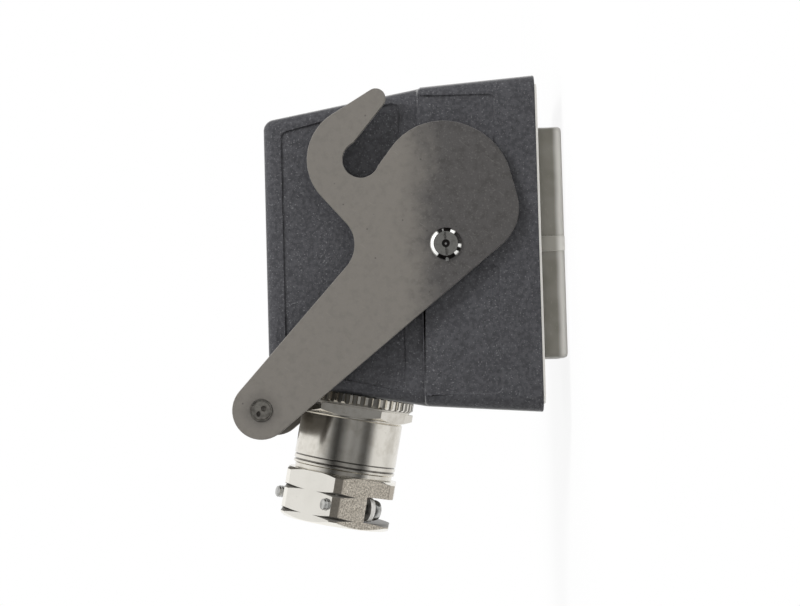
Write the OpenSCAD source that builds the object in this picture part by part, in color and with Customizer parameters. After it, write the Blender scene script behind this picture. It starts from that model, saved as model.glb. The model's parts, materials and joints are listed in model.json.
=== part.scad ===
// Hood of a heavy duty rectangular connector: sixteen poles and earth, angled side
// cable entry, two-plate locking lever on the long sides, brass gland with a clamp nut.
// The rim face lies in Z = 0, the mouth looks down, -X points to the cable gland.

/* [Hood] */
// Length of the hood at its mouth
hood_l = 93.5; // [90:0.5:98]
// Width of the hood at its mouth
hood_w = 43; // [42:0.5:46]
// Height from the rim face to the back
hood_h = 76.5; // [74:0.5:80]
// Height of the top of the skirt
skirt_h = 33.2; // [32.5:0.1:34]
// Narrowing of the skirt at each end
skirt_taper = 2.3; // [1.5:0.1:2.5]
// Narrowing of the skirt at each side
side_taper = 0.5; // [0.2:0.1:0.8]
// Lean of the end walls above the skirt, in degrees
end_lean = 9.8; // [8:0.1:11]
// Step in from the skirt to the body on each long side
body_step = 2.8; // [2.3:0.1:3.2]
// Lean of the body's long sides, in degrees
side_lean = 2.4; // [1.5:0.1:3]
// Radius of the upright corners
corner_r = 5; // [4:0.5:6]
// Radius round the back
back_r = 3.2; // [2.5:0.1:4]
// Thickness of the casting
wall = 3; // [2.8:0.1:3.2]
// Height of the bare lip below the painted edge
lip_h = 0.7; // [0.4:0.1:1.2]
// Distance of the lip from the outside
lip_inset = 2.2; // [1.8:0.1:2.6]
// Depth of the recessed fields in the long sides
field_d = 0.6; // [0.3:0.1:0.9]
// Height at which the skirt's fields begin
field_z = 12; // [9:0.5:15]
// Half width of the band that the lever turns on
band_w = 6.1; // [5:0.1:8]

/* [Lever] */
// Height of the pivot above the rim face
pivot_z = 26.4; // [25:0.1:27]
// Thickness of the lever's plates
plate_t = 2; // [1.5:0.1:2.5]
// Gap between a plate and the boss that it turns on
lever_gap = 0.25; // [0.15:0.05:0.4]
// Height of the pivot bosses
boss_h = 0.1; // [0.05:0.05:0.5]
// Radius of the pivot bosses
boss_r = 8; // [6:0.5:9]
// Distance of the grip past the end of the hood's back
grip_past = 7.28; // [7:0.02:9]
// Height of the grip above the hood's back
grip_over = 1.53; // [1:0.01:3]
// Radius of the arm's rounded end
arm_r = 8; // [7:0.5:9]
// Radius of the seat in the hook
seat_r = 5.05; // [4.5:0.05:5.5]
// Distance of the seat from the pivot
seat_l = 32.9; // [32:0.1:34]
// Direction of the seat from the pivot, in degrees
seat_angle = 43.6; // [42:0.1:45]
// Width of the hook round its seat
hook_w = 9.8; // [8:0.2:11]
// Radius of the lobe
lobe_r = 17.4; // [16.8:0.2:17.8]
// Radius of the lobe's toe
toe_r = 13; // [12:0.2:13.6]
// Radius of the grip sleeve
grip_r = 5.5; // [4.5:0.1:5.8]
// Radius of the grip rivet
rivet_r = 3; // [2.5:0.1:3.5]
// Radius of the pivot pins
pin_r = 3; // [2.5:0.1:3.2]
// Radius of the pivot pins' heads
pin_head_r = 4.35; // [4:0.05:5]
// Thickness of the pivot pins' heads
pin_head_t = 0.9; // [0.6:0.1:1.2]
// Radial clearance of a turning fit
turn_gap = 0.05; // [0.02:0.01:0.09]

/* [Contact insert] */
// Gap between the insert's flange and the casting
flange_gap = 1.5; // [1.4:0.1:2]
// Distance of the fixing screws from the flange's edge
screw_edge = 3.5; // [3.4:0.1:4]
// Distance of the block's ends from the fixing screws
end_gap = 6.85; // [6.5:0.05:7.2]
// Distance of the block's sides inside the line of the fixing screws
side_gap = 0.2; // [0.1:0.1:0.5]
// Height by which the insert stands out of the rim
stand_out = 6.8; // [5:0.2:8]
// Height of the flange's underside above the rim face
flange_z = 9; // [8:0.5:10]
// Thickness of the flange
flange_t = 3; // [2:0.5:4]
// Height of the rear block above the flange
rear_h = 16; // [15:0.5:17]
// Thickness of the shroud round the contacts
shroud_t = 2; // [1.6:0.2:2.4]
// Number of contacts in a row
poles = 8; // [6:1:8]
// Distance of the outer contacts from the block's ends
pole_margin = 5.65; // [5.2:0.05:6.2]
// Distance of the contacts from the block's sides
row_margin = 7.8; // [7.4:0.1:8]
// Radius of a contact pin
contact_r = 1.25; // [1:0.05:1.5]
// Radius of the fixing screws
fix_r = 2; // [1.5:0.1:2.2]

/* [Cable gland] */
// Depth below the hood's back at which the gland's axis meets the end wall
gland_drop = 23.4; // [22.5:0.1:24.5]
// Lean of the gland's axis above the rim plane, in degrees
gland_lean = 10.9; // [9:0.1:11.5]
// Radius of the gland's thread in the hood
thread_r = 12.45; // [11:0.05:12.5]
// Outer radius of the knurled ring
ring_r = 16.75; // [16:0.05:17]
// Thickness of the knurled ring
ring_t = 3.3; // [2.6:0.1:3.4]
// Teeth on the knurled ring
ring_teeth = 48; // [36:1:60]
// Width across the flats of the body's hexagon
flats = 29.5; // [29:0.1:30]
// Thickness of the body's hexagon
hex_t = 2.9; // [2:0.1:3.2]
// Length of the gland's plain barrel
barrel_l = 12.9; // [12:0.1:14]
// Length of the neck between the barrel and the nut
neck_l = 3.5; // [3:0.1:5]
// Radius of the neck
neck_r = 13.9; // [13.4:0.1:14.1]
// Radius of the cable passage
cable_r = 7; // [5:0.5:8]
// Width across the flats of the clamp nut
nut_flats = 30.6; // [30.4:0.1:31.4]
// Length of the clamp nut
nut_l = 14.1; // [13.8:0.1:16]
// Radius of the nut's cable mouth
mouth_r = 9.5; // [8.5:0.1:10]
// Distance of each clamp screw from the gland's axis
clamp_off = 12.6; // [12.3:0.1:12.8]
// Radius of the clamp screws
clamp_r = 1.5; // [1.2:0.1:1.6]
// Height of the clamp saddle and of its pocket
saddle_h = 6.6; // [6:0.1:7]
// Travel of the clamp saddle
saddle_travel = 2; // [1:0.5:2]

/* [Hidden] */
$fn = 64;
hull_fn = 32;
fit = 0.02;

// Hood
skirt_top_l = hood_l - 2 * skirt_taper;
skirt_top_w = hood_w - 2 * side_taper;
body_w = hood_w - 2 * body_step;
body_rise = hood_h - skirt_h;
back_l = skirt_top_l - 2 * body_rise * tan(end_lean);
back_w = body_w - 2 * body_rise * tan(side_lean);
panel_low = skirt_h + 5.2;
panel_high = hood_h - 5.1;
panel_margin = 3.8;
panel_lean = end_lean + 1.5;
shelf_z = skirt_h - wall;

// Lever
pin_y = hood_w / 2 + boss_h;
plate_y = pin_y + lever_gap;
plate_out = plate_y + plate_t;
grip_at = [-back_l / 2 - grip_past, hood_h - pivot_z + grip_over];
seat_at = seat_l * [cos(seat_angle), sin(seat_angle)];
toe_at = [9.6, -7.3];
heel_at = [14.8, 0.1];
heel_r = lobe_r + 1.5;
lobe_at = [16.5, 0.3];
neck_at = [0.6, 34];
neck_cut_r = 9;
tip_at = seat_at + [16.8, -4.5];
tip_r = 2.75;
slot_r = seat_r - 0.15;
slot_corner_r = 1;
slot_corner_at = seat_at + (slot_r + slot_corner_r + 0.08) * [cos(27), sin(27)];
// Circles that the outline runs round: centre, then radius, negative where it is hollow
lever_circles = [
  [grip_at, arm_r], [toe_at, toe_r], [heel_at, heel_r], [lobe_at, lobe_r],
  [seat_at, -slot_r], [slot_corner_at, slot_corner_r], [tip_at, tip_r],
  [seat_at, seat_r + hook_w], [neck_at, -neck_cut_r]];

// Insert
flange_l = hood_l - 2 * (wall + flange_gap);
flange_w = hood_w - 2 * (wall + flange_gap);
fix_x = flange_l - 2 * screw_edge;
fix_y = flange_w - 2 * screw_edge;
block_l = fix_x - 2 * end_gap;
block_w = fix_y - 2 * side_gap;
pole_pitch = (block_l - 2 * pole_margin) / (poles - 1);
row_gap = block_w - 2 * row_margin;
flange_top = flange_z + flange_t;
well_top = flange_z - 1.5;
rear_inset = 0.4;
rear_proud = 1.2;
rear_l = block_l - 2 * rear_inset;
rear_w = block_w + 2 * rear_proud;
pocket_floor = flange_top + 1.8;
terminal = [5, 8, 9];
terminal_y = row_gap / 2 + 2.1;
pocket_gap = 0.2;
wire_r = 1.4;
wire_z = pocket_floor + 3.4;
terminal_screw_r = 1.5;
fix_depth = 10;
fix_head = [3.4, 2.6];
rib_w = 4.2;
rib_h = 0.6;
earth_gap = 2.2;
earth_edge = 1.35;
earth_l = (flange_l - rear_l) / 2 - earth_gap - earth_edge;
earth_x = flange_l / 2 - earth_edge - earth_l / 2;
earth_w = 14;
earth_t = 1.6;
earth_block = [earth_l - 0.8, 8, 8];
earth_hole_z = earth_block[2] / 2;
earth_screw_r = 1.75;
earth_screw_l = 2.4;
earth_head = [3, 2.2];
earth_hole_r = 1.6;
blade_x = earth_x - earth_l / 2 + 1;
blade_t = 1.2;
blade_w = 8;
blade_z = 1.5;

// Gland, along its own axis from the hood's end wall
gland_z = hood_h - gland_drop;
tooth = 0.7;
tooth_l = ring_t - 0.45;
spot_r = ring_r + 0.3;
spot_depth = spot_r * sin(abs(gland_lean - end_lean));
gland_x = spot_depth - skirt_top_l / 2 + (gland_z - skirt_h) * tan(end_lean);
thread_in = 9;
hex_end = ring_t + hex_t;
barrel_r = flats / 2 - 0.25;
barrel_end = hex_end + barrel_l;
neck_end = barrel_end + neck_l;
spigot_r = 12.4;
spigot_l = 3.9;
spigot_end = neck_end + spigot_l;
passage_r = 9.3;
seal_r = 11.2;
seal_floor = 13.5;
seal_l = 10;
seal_end = seal_floor + seal_l;
washer_gap = 0.1;
washer_wall = 2.9;
nut_top = neck_end + 0.2;
nut_end = nut_top + nut_l;
corner_cut = nut_flats / 2 / cos(30) - 0.64;
shoulder_z = spigot_end + 0.2;
shoulder_t = 1;
pocket_z = shoulder_z + shoulder_t;
clamp_z = pocket_z + saddle_h / 2 + 0.1;
pocket_h = saddle_h + 0.2;
clamp_turn = 30;
notch_at = -0.85;
notch_h = 7.2;
washer_r = 3.4;
washer_t = 1.4;
head_gap = 0.45;
head_r = 2.9;
head_h = 2.9;
screw_tip = 13.5;
saddle_in = 3.4;
saddle_out = 8.2;
saddle_half = 13.4;
saddle_back = [10.6, 8];
groove_depth_r = nut_flats / 2 + 0.1;
groove_half = 0.85;
groove_at = [5.3, 11.9];

// ---- Helpers ----

module corner_posts(l, w, r, z, h = 0.4) {
  for (sx = [-1, 1], sy = [-1, 1])
    translate([sx * (l / 2 - r), sy * (w / 2 - r), z]) cylinder(r = r, h = h, $fn = hull_fn);
}

// Outward normal of the line that leaves circle a for circle b
function line_normal(a, b) =
  let (d = b[0] - a[0])
  atan2(d[1], d[0]) - acos((a[1] - b[1]) / norm(d));

// Points round one circle of an outline, between its two lines
function round_points(c, from, to) =
  let (turn = c[1] > 0
         ? (to - from + 720) % 360
         : -((from - to + 720) % 360),
       steps = max(2, ceil(abs(turn) / 8)))
  [for (k = [0:steps]) c[0] + c[1] * [cos(from + turn * k / steps), sin(from + turn * k / steps)]];

// Outline that runs round a ring of circles, joined by straight lines
function belt(circles) =
  let (n = len(circles))
  [for (i = [0:n - 1])
    let (before = circles[(i + n - 1) % n], here = circles[i], after = circles[(i + 1) % n])
    each round_points(here, line_normal(before, here), line_normal(here, after))];

module at_gland() {
  translate([gland_x, 0, gland_z]) rotate([0, gland_lean - 90, 0]) children();
}

// Turned so that +X runs along the clamp screws, from head to tip
module at_clamp(z) {
  translate([0, 0, z]) rotate([0, 0, -clamp_turn]) children();
}

module tube(r_out, r_in, z0, z1) {
  translate([0, 0, z0]) difference() {
    cylinder(r = r_out, h = z1 - z0);
    translate([0, 0, -1]) cylinder(r = r_in, h = z1 - z0 + 2);
  }
}

module hexagon(across, h) {
  cylinder(r = across / 2 / cos(30), h = h, $fn = 6);
}

// Cross recess, sunk into a head whose top is at Z = 0
module cross_recess(size, depth) {
  for (a = [0, 90]) rotate([0, 0, a])
    translate([-size / 2, -size / 10, -depth]) cube([size, size / 5, depth + 1]);
}

// Pan head that stands on Z = 0
module pan_head(r, h) {
  difference() {
    rotate_extrude() polygon([[0, 0], [r, 0], [r, h * 0.5], [r * 0.9, h * 0.78],
      [r * 0.62, h * 0.95], [0, h]]);
    translate([0, 0, h]) cross_recess(r * 1.25, h * 0.55);
  }
}

// ---- Hood ----

module hood_outside() {
  hull() {
    corner_posts(hood_l, hood_w, corner_r, lip_h);
    corner_posts(skirt_top_l, skirt_top_w, corner_r, skirt_h - 1.4);
    corner_posts(skirt_top_l - 1.2, skirt_top_w - 1.2, corner_r - 0.6, skirt_h - 0.4);
  }
  hull() {
    corner_posts(skirt_top_l, body_w, corner_r, skirt_h - 1);
    for (sx = [-1, 1], sy = [-1, 1])
      translate([sx * (back_l / 2 - back_r), sy * (back_w / 2 - back_r), hood_h - back_r])
        sphere(r = back_r, $fn = hull_fn);
  }
}

module hood_cavity() {
  shelf_l = skirt_top_l - 2 * wall;
  hull() {
    corner_posts(hood_l - 2 * wall - 0.4, hood_w - 2 * wall - 0.4, corner_r - 2, -1);
    corner_posts(shelf_l, skirt_top_w - 2 * wall, corner_r - 2, shelf_z - 0.4);
  }
  hull() {
    corner_posts(shelf_l, body_w - 2 * wall, corner_r - 2, shelf_z - 1);
    corner_posts(back_l - 2 * wall, back_w - 2 * wall, corner_r - 2, hood_h - wall - 0.4);
  }
}

// Shallow field in the side of the body, narrower towards the back
module body_panel() {
  rise = panel_high - panel_low;
  low = skirt_top_l / 2 - (panel_low - skirt_h) * tan(end_lean) - panel_margin;
  high = low - rise * tan(panel_lean);
  r = 2;
  side = body_w / 2 - (panel_low - skirt_h) * tan(side_lean);
  outline = belt([[[-low + r, r], r], [[low - r, r], r], [[high - r, rise - r], r],
    [[-high + r, rise - r], r]]);
  translate([0, -side + field_d, panel_low]) rotate([90 - side_lean, 0, 0])
    linear_extrude(4) polygon(outline);
}

// Shallow fields in the side of the skirt, left and right of the pivot band
module skirt_fields() {
  reach = skirt_top_l / 2 - 3.2;
  r = 1.6;
  lean = atan(side_taper / (skirt_h - lip_h));
  side = hood_w / 2 - (field_z - lip_h) * tan(lean);
  both_ends() translate([0, -side + field_d, field_z]) rotate([90 - lean, 0, 0])
    linear_extrude(4) polygon(belt([[[band_w + r, r], r], [[reach - r, r], r],
      [[reach - r, skirt_h], r], [[band_w + r, skirt_h], r]]));
}

module both_ends() {
  children();
  mirror([1, 0, 0]) children();
}

module both_sides() {
  children();
  mirror([0, 1, 0]) children();
}

module fix_places() {
  for (sx = [-1, 1], sy = [-1, 1]) translate([sx * fix_x / 2, sy * fix_y / 2, 0]) children();
}

module hood() {
  color([0.25, 0.25, 0.27]) difference() {
    union() {
      difference() {
        union() {
          difference() {
            hood_outside();
            both_sides() { body_panel(); skirt_fields(); }
          }
          both_sides() translate([0, -hood_w / 2 + 2, pivot_z]) rotate([90, 0, 0])
            cylinder(r = boss_r, h = 2 + boss_h);
          hull() corner_posts(hood_l - 2 * lip_inset, hood_w - 2 * lip_inset,
            corner_r - 1.5, 0, lip_h + 1);
        }
        hood_cavity();
      }
      fix_places() translate([0, 0, flange_top + fit]) cylinder(r = 4, h = shelf_z - flange_top);
      at_gland() translate([0, 0, -6]) cylinder(r = thread_r + 2.6, h = 6 - wall / 3);
    }
    at_gland() {
      translate([0, 0, -20]) cylinder(r = thread_r + fit, h = 22);
      cylinder(r = spot_r, h = 2);
    }
    fix_places() translate([0, 0, flange_top - 1]) cylinder(r = fix_r, h = fix_depth + 3);
    both_sides() translate([0, -hood_w / 2 - 2, pivot_z]) rotate([-90, 0, 0])
      cylinder(r = pin_r, h = 8);
  }
}

// ---- Lever ----

module pivot_pins() {
  color([0.8, 0.8, 0.78]) both_sides() translate([0, 0, pivot_z]) difference() {
    union() {
      translate([0, -hood_w / 2 + wall + 0.2, 0]) rotate([90, 0, 0])
        cylinder(r = pin_r, h = plate_out + 0.1 - hood_w / 2 + wall + 0.2);
      translate([0, -plate_out - 0.1, 0]) rotate([90, 0, 0]) rotate_extrude() polygon([[0, 0],
        [pin_head_r, 0], [pin_head_r, pin_head_t * 0.4], [pin_head_r - 1.1, pin_head_t],
        [0, pin_head_t]]);
    }
    head_y = -plate_out - 0.1 - pin_head_t;
    translate([0, head_y - 1, 0]) rotate([-90, 0, 0]) cylinder(r = 1, h = 2.2);
    rotate([0, -3, 0]) translate([-pin_head_r, head_y - 1, -0.25])
      cube([2 * pin_head_r, 1.45, 0.5]);
  }
}

module lever_plate() {
  translate([0, -plate_y, pivot_z]) rotate([90, 0, 0]) difference() {
    linear_extrude(plate_t) polygon(belt(lever_circles));
    translate([0, 0, -1]) cylinder(r = pin_r + turn_gap, h = plate_t + 2);
    translate([seat_at[0], seat_at[1], -1]) cylinder(r = seat_r, h = plate_t + 2);
    translate([grip_at[0], grip_at[1], -1]) cylinder(r = rivet_r, h = plate_t + 2);
  }
}

module lever_plate_front() {
  color([0.55, 0.54, 0.52]) lever_plate();
}

module lever_plate_back() {
  color([0.55, 0.54, 0.52]) mirror([0, 1, 0]) lever_plate();
}

module at_grip() {
  translate([grip_at[0], 0, pivot_z + grip_at[1]]) rotate([90, 0, 0]) children();
}

module lever_grip() {
  color([0.6, 0.6, 0.6]) at_grip() tube(grip_r, rivet_r + fit, -plate_y, plate_y);
}

// Rod through the sleeve and both plates, with its ends set over
module grip_rivet() {
  set_h = 0.35;
  half = plate_out + set_h;
  color([0.7, 0.7, 0.68]) at_grip() difference() {
    translate([0, 0, -half]) cylinder(r = rivet_r, h = 2 * half);
    for (s = [-1, 1]) translate([0, 0, s * half]) rotate_extrude()
      translate([rivet_r - 0.35, 0]) circle(r = 0.2, $fn = 16);
  }
}

// ---- Contact insert ----

module pole_places() {
  for (i = [0:poles - 1], s = [-1, 1])
    translate([(i - (poles - 1) / 2) * pole_pitch, 0, 0])
      if (s > 0) children();
      else mirror([0, 1, 0]) children();
}

module insert_body() {
  color([0.72, 0.72, 0.65]) difference() {
    union() {
      hull() corner_posts(block_l, block_w, 1.6, -stand_out, stand_out + flange_z);
      hull() corner_posts(flange_l, flange_w, 3, flange_z, flange_t);
      hull() corner_posts(rear_l, rear_w, 1.5, flange_top - 1, rear_h + 1);
      both_sides() translate([-rib_w / 2, -block_w / 2 - rib_h, -stand_out])
        cube([rib_w, rib_h + 1, stand_out + flange_z + 1]);
    }
    translate([-block_l / 2 + shroud_t, -block_w / 2 + shroud_t, -stand_out - 1])
      cube([block_l - 2 * shroud_t, block_w - 2 * shroud_t, well_top + stand_out + 1]);
    pole_places() {
      translate([0, row_gap / 2, 0]) cylinder(r = contact_r + 0.4 + fit, h = pocket_floor + 1);
      translate([-terminal[0] / 2 - pocket_gap, terminal_y - terminal[1] / 2 - pocket_gap,
        pocket_floor])
        cube([terminal[0] + 2 * pocket_gap, terminal[1] + 2 * pocket_gap, rear_h]);
      translate([0, terminal_y, wire_z]) rotate([-90, 0, 0])
        cylinder(r = wire_r + 0.3, h = rear_w / 2);
    }
    fix_places() translate([0, 0, flange_z - 1]) cylinder(r = fix_r + 0.2, h = flange_t + 2);
    for (s = [-1, 1]) translate([s * blade_x - blade_t / 2 - fit,
      -blade_w / 2 - fit, flange_z - 1]) cube([blade_t + 2 * fit, blade_w + 2 * fit, flange_t + 2]);
  }
}

module contact_pins() {
  tip_z = -stand_out + 2.4;
  color([0.85, 0.83, 0.75]) pole_places() difference() {
    union() {
      translate([0, row_gap / 2, tip_z + contact_r]) cylinder(r = contact_r, h = 12);
      translate([0, row_gap / 2, tip_z]) cylinder(r1 = contact_r * 0.45, r2 = contact_r,
        h = contact_r);
      translate([0, row_gap / 2, well_top - 0.6])
        cylinder(r = contact_r + 0.4, h = pocket_floor - well_top + 1);
      translate([-terminal[0] / 2, terminal_y - terminal[1] / 2, pocket_floor]) cube(terminal);
    }
    translate([0, terminal_y - terminal[1], wire_z]) rotate([-90, 0, 0])
      cylinder(r = wire_r, h = 2 * terminal[1]);
    translate([0, terminal_y, wire_z]) cylinder(r = terminal_screw_r, h = terminal[2]);
  }
}

module terminal_screws() {
  screw_top = pocket_floor + terminal[2];
  color([0.8, 0.8, 0.8]) pole_places() translate([0, terminal_y, 0]) difference() {
    union() {
      translate([0, 0, wire_z + wire_r]) cylinder(r = terminal_screw_r,
        h = screw_top - wire_z - wire_r);
      translate([0, 0, screw_top]) cylinder(r = 2.3, h = 1.8);
    }
    translate([-3, -0.35, screw_top + 0.9]) cube([6, 0.7, 2]);
  }
}

// Earth bracket on the flange, with the blade that reaches down beside the shroud
module earth_terminals() {
  color([0.8, 0.72, 0.5]) for (s = [-1, 1]) difference() {
    union() {
      translate([s * earth_x - earth_l / 2, -earth_w / 2, flange_top])
        cube([earth_l, earth_w, earth_t]);
      translate([s * earth_x - earth_block[0] / 2, -earth_block[1] / 2, flange_top])
        cube(earth_block);
      translate([s * blade_x - blade_t / 2, -blade_w / 2, blade_z])
        cube([blade_t, blade_w, flange_top - blade_z + earth_t / 2]);
    }
    translate([s * earth_x, -earth_w, flange_top + earth_hole_z]) rotate([-90, 0, 0])
      cylinder(r = earth_hole_r, h = 2 * earth_w);
    translate([s * earth_x, 0, flange_top + earth_hole_z])
      cylinder(r = earth_screw_r, h = earth_block[2]);
  }
}

module earth_screws() {
  color([0.8, 0.8, 0.8]) for (s = [-1, 1])
    translate([s * earth_x, 0, flange_top + earth_block[2]]) {
      translate([0, 0, -earth_screw_l]) cylinder(r = earth_screw_r, h = earth_screw_l);
      pan_head(earth_head[0], earth_head[1]);
    }
}

module insert_screws() {
  color([0.75, 0.75, 0.75]) fix_places() {
    translate([0, 0, flange_z]) cylinder(r = fix_r, h = flange_t + fix_depth - 1);
    translate([0, 0, flange_z]) mirror([0, 0, 1]) pan_head(fix_head[0], fix_head[1]);
  }
}

// ---- Cable gland ----

module port_seal() {
  color([0.08, 0.08, 0.08]) at_gland() tube(thread_r + 2, thread_r + fit, 0, 1);
}

module knurled_ring() {
  step = 360 / ring_teeth;
  collar_r = ring_r - tooth - 0.1;
  rim = [for (i = [0:ring_teeth - 1], k = [[0, 1], [0.34, 1], [0.5, 0], [0.84, 0]])
    (ring_r - tooth * (1 - k[1])) * [cos((i + k[0]) * step), sin((i + k[0]) * step)]];
  color([0.82, 0.82, 0.78]) at_gland() difference() {
    union() {
      intersection() {
        linear_extrude(tooth_l) polygon(rim);
        rotate_extrude() polygon([[0, 0], [ring_r - 0.2, 0], [ring_r, 0.2],
          [ring_r, tooth_l - 0.6], [collar_r, tooth_l], [0, tooth_l]]);
      }
      cylinder(r = collar_r, h = ring_t);
    }
    translate([0, 0, -1]) cylinder(r = thread_r + fit, h = ring_t + 2);
    translate([0, 0, -1]) cylinder(r = thread_r + 2 + fit, h = 2);
  }
}

module gland_body() {
  ledge = 1;
  groove = 0.35;
  color([0.75, 0.74, 0.7]) at_gland() difference() {
    union() {
      translate([0, 0, -thread_in]) cylinder(r = thread_r, h = thread_in + ring_t + 1);
      intersection() {
        translate([0, 0, ring_t]) hexagon(flats, hex_t);
        rotate_extrude() polygon([[0, ring_t], [barrel_r + 2.6, ring_t],
          [barrel_r + 2.6, hex_end - ledge], [barrel_r, hex_end + 0.2], [0, hex_end + 0.2]]);
      }
      rotate_extrude() polygon([[0, hex_end - 0.5], [barrel_r - 0.3, hex_end - 0.5],
        [barrel_r - 0.3, hex_end + 0.4], [barrel_r, hex_end + 0.7],
        [barrel_r, barrel_end - groove], [barrel_r - groove, barrel_end - groove],
        [barrel_r - groove, barrel_end], [barrel_r, barrel_end],
        [barrel_r, barrel_end + 1], [barrel_r - groove, barrel_end + 1],
        [barrel_r - groove, barrel_end + 1.4], [barrel_r, barrel_end + 1.5],
        [barrel_r, barrel_end + 2.1], [neck_r, barrel_end + 2.4],
        [neck_r, neck_end], [spigot_r, neck_end], [spigot_r, spigot_end], [0, spigot_end]]);
    }
    translate([0, 0, -thread_in - 1]) cylinder(r = passage_r, h = thread_in + seal_floor + 2);
    translate([0, 0, seal_floor]) cylinder(r = seal_r, h = spigot_end);
  }
}

module cable_seal() {
  color([0.1, 0.1, 0.1]) at_gland() tube(seal_r - fit, cable_r, seal_floor, seal_end);
}

module pressure_ring() {
  color([0.8, 0.7, 0.4]) at_gland() tube(seal_r - washer_gap, seal_r - washer_gap - washer_wall,
    seal_end, shoulder_z);
}

// Box along the clamp screws: x from..to, centred across and at the screws' height
module clamp_box(x0, x1, half, h) {
  translate([x0, -half, -h / 2]) cube([x1 - x0, 2 * half, h]);
}

module clamp_lines() {
  for (s = [-1, 1]) translate([0, s * clamp_off, 0]) rotate([0, 90, 0]) children();
}

module clamp_nut() {
  color([0.85, 0.84, 0.8]) at_gland() difference() {
    intersection() {
      translate([0, 0, nut_top]) rotate([0, 0, 30]) hexagon(nut_flats, nut_l);
      translate([0, 0, nut_top]) hexagon(2 * corner_cut, nut_l);
      rotate_extrude() polygon([[0, nut_top], [nut_flats / 2 + 0.3, nut_top],
        [nut_flats / 2 + 2.3, nut_top + 1], [nut_flats / 2 + 2.3, nut_end - 1.6],
        [nut_flats / 2 - 0.4, nut_end], [0, nut_end]]);
    }
    for (z = groove_at) translate([0, 0, nut_top + z]) rotate_extrude()
      polygon([[groove_depth_r, 0], [groove_depth_r + 4, -groove_half * 1.8],
        [groove_depth_r + 4, groove_half * 1.8]]);
    translate([0, 0, nut_top - 1]) cylinder(r = spigot_r + turn_gap, h = shoulder_z - nut_top + 1);
    translate([0, 0, nut_top]) cylinder(r = mouth_r, h = nut_l + 1);
    at_clamp(clamp_z) {
      clamp_box(-30, notch_at, 30, notch_h);
      clamp_box(saddle_in - saddle_travel - 0.4, saddle_out + 0.2, saddle_half + 0.1, pocket_h);
      clamp_box(saddle_out, saddle_back[0] + 0.2, saddle_back[1] + 0.1, pocket_h);
      clamp_lines() translate([0, 0, -10]) cylinder(r = clamp_r + fit, h = 40);
    }
  }
}

// Bar inside the nut that the clamp screws draw against the cable
module clamp_saddle() {
  color([0.8, 0.78, 0.7]) at_gland() at_clamp(clamp_z) difference() {
    union() {
      clamp_box(saddle_in, saddle_out, saddle_half, saddle_h);
      clamp_box(saddle_in, saddle_back[0], saddle_back[1], saddle_h);
    }
    clamp_lines() translate([0, 0, -10]) cylinder(r = clamp_r + turn_gap, h = 40);
    translate([0, 0, -saddle_h]) cylinder(r = cable_r + 0.3, h = 2 * saddle_h);
  }
}

module clamp_screws() {
  seat = notch_at - head_gap - washer_t;
  color([0.6, 0.6, 0.6]) at_gland() at_clamp(clamp_z) clamp_lines() {
    translate([0, 0, seat]) cylinder(r = clamp_r, h = screw_tip - seat);
    translate([0, 0, seat]) mirror([0, 0, 1]) pan_head(head_r, head_h);
  }
}

module clamp_washers() {
  seat = notch_at - head_gap;
  color([0.7, 0.7, 0.7]) at_gland() at_clamp(clamp_z) clamp_lines()
    tube(washer_r, clamp_r + fit, seat - washer_t, seat);
}

hood();
pivot_pins();
lever_plate_front();
lever_plate_back();
lever_grip();
grip_rivet();
insert_body();
contact_pins();
terminal_screws();
earth_terminals();
earth_screws();
insert_screws();
port_seal();
knurled_ring();
gland_body();
cable_seal();
pressure_ring();
clamp_nut();
clamp_saddle();
clamp_screws();
clamp_washers();
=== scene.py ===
import json
import math

import bpy
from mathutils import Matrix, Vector


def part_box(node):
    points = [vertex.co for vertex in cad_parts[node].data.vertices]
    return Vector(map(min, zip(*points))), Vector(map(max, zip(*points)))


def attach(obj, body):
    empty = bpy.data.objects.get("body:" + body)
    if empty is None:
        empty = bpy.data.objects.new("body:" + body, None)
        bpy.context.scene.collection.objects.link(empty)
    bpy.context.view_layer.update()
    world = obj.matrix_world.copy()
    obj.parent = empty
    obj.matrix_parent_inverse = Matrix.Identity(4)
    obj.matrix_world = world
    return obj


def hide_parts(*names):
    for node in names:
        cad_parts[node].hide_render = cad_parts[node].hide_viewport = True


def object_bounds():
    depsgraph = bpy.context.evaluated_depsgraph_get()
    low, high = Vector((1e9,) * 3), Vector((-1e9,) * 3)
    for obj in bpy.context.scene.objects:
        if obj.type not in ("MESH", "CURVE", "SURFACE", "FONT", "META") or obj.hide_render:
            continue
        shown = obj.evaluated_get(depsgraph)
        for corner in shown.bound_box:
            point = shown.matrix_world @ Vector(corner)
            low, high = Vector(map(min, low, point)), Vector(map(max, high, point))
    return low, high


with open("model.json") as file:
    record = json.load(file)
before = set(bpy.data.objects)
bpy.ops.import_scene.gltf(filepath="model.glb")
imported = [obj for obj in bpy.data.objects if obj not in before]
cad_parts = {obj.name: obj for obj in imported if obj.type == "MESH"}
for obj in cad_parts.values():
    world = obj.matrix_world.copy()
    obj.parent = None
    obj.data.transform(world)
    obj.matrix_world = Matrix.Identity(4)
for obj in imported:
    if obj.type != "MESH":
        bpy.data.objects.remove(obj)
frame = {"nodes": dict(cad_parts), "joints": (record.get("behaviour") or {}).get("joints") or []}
cadBox = [list(corner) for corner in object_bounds()]
print("frame loaded:", len(frame["nodes"]), "nodes")

mm = 0.001
joints = {joint["name"]: joint for joint in frame["joints"]}
glandSpot = Vector(joints["nut_turn"]["pos_m"])
glandAxis = Vector(joints["nut_turn"]["axis"]).normalized()
screwAxis = -Vector(joints["saddle_slide"]["axis"]).normalized()  # from head to tip
acrossAxis = glandAxis.cross(screwAxis)  # from one clamp screw to the other
leverPivot = Vector(joints["lever_hinge"]["pos_m"])


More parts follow.
